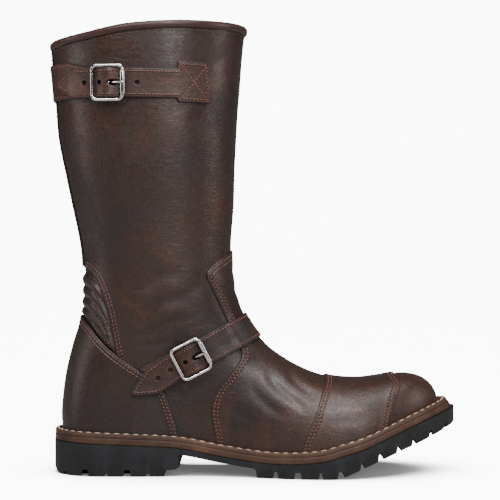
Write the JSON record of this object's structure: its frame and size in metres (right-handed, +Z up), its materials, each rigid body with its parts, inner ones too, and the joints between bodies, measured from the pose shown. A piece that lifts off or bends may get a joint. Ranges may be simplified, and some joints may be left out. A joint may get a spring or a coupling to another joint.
{
  "type": "riding boot",
  "caption": "Right-foot leather riding boot with a welted lugged rubber sole, heel block, ribbed ankle panel, toe band and roller-buckled straps at the calf and ankle.",
  "frame": {"origin": "on the ground under the middle of the bounding box", "axes": "+X towards the toe, +Z up, -Y towards the outer side of the right foot"},
  "size_m": [0.3157, 0.1283, 0.345],
  "materials": {
    "dark_leather": "waxed dark brown pull-up leather, satin",
    "strap_leather": "waxed reddish brown leather, satin",
    "lining_leather": "smooth lining leather",
    "welt_leather": "burnished brown",
    "black_rubber": "matt moulded",
    "polished_nickel": "polished",
    "steel": "plain",
    "board": "fibre board",
    "stiffener": "formed stiffener",
    "cork": "cork filling",
    "footbed_cloth": "knitted cover",
    "foam": "soft padding"
  },
  "bodies": {
    "boot": {"outsole": "black_rubber", "heel_block": "black_rubber", "midsole": "welt_leather", "welt": "welt_leather", "insole_board": "board", "cork_filler": "cork", "shank": "steel", "heel_nails": "steel", "footbed": "footbed_cloth", "counter_stiffener": "stiffener", "toe_puff": "stiffener", "foot_lining": "lining_leather", "shaft_lining": "lining_leather", "shaft": "dark_leather", "backstay": "dark_leather", "flex_panel": "dark_leather", "flex_padding": "foam", "heel_counter": "dark_leather", "vamp": "dark_leather", "toe_band": "dark_leather", "toe_cap": "dark_leather", "collar_binding": "strap_leather", "upper_strap": "strap_leather", "upper_chape": "strap_leather", "ankle_strap": "strap_leather", "ankle_chape": "strap_leather"},
    "upper_buckle": {"upper_buckle_frame": "polished_nickel"},
    "upper_prong": {"upper_prong": "polished_nickel"},
    "upper_roller": {"upper_roller": "polished_nickel"},
    "upper_tail": {"upper_strap_tail": "strap_leather"},
    "ankle_buckle": {"ankle_buckle_frame": "polished_nickel"},
    "ankle_prong": {"ankle_prong": "polished_nickel"},
    "ankle_roller": {"ankle_roller": "polished_nickel"},
    "ankle_tail": {"ankle_strap_tail": "strap_leather"}
  },
  "joints": [
    {"name": "upper_buckle_tilt", "type": "hinge", "parent": "boot", "child": "upper_buckle", "pos_m": [-0.10738, -0.05542, 0.29635], "axis": [0, -0.0546, 0.9985], "range_deg": [-2, 2]},
    {"name": "upper_prong_lift", "type": "hinge", "parent": "upper_buckle", "child": "upper_prong", "pos_m": [-0.10738, -0.05542, 0.29635], "axis": [0, 0.0546, -0.9985], "range_deg": [0, 12]},
    {"name": "upper_roller_spin", "type": "hinge", "parent": "upper_buckle", "child": "upper_roller", "pos_m": [-0.09663, -0.06051, 0.29607], "axis": [0, -0.0546, 0.9985], "continuous": true},
    {"name": "upper_tail_lift", "type": "hinge", "parent": "boot", "child": "upper_tail", "pos_m": [-0.12241, -0.05241, 0.29651], "axis": [0, -0.0546, 0.9985], "range_deg": [0, 50], "stiffness_Nm_per_rad": 0.01},
    {"name": "ankle_buckle_tilt", "type": "hinge", "parent": "boot", "child": "ankle_buckle", "pos_m": [-0.04658, -0.03524, 0.08914], "axis": [-0.4504, -0.1247, 0.884], "range_deg": [-2, 2]},
    {"name": "ankle_prong_lift", "type": "hinge", "parent": "ankle_buckle", "child": "ankle_prong", "pos_m": [-0.04658, -0.03524, 0.08914], "axis": [0.4504, 0.1247, -0.884], "range_deg": [0, 12]},
    {"name": "ankle_roller_spin", "type": "hinge", "parent": "ankle_buckle", "child": "ankle_roller", "pos_m": [-0.03605, -0.03785, 0.09414], "axis": [-0.4504, -0.1247, 0.884], "continuous": true},
    {"name": "ankle_tail_lift", "type": "hinge", "parent": "boot", "child": "ankle_tail", "pos_m": [-0.06017, -0.03626, 0.08207], "axis": [-0.4504, -0.1247, 0.884], "range_deg": [0, 50], "stiffness_Nm_per_rad": 0.01}
  ]
}
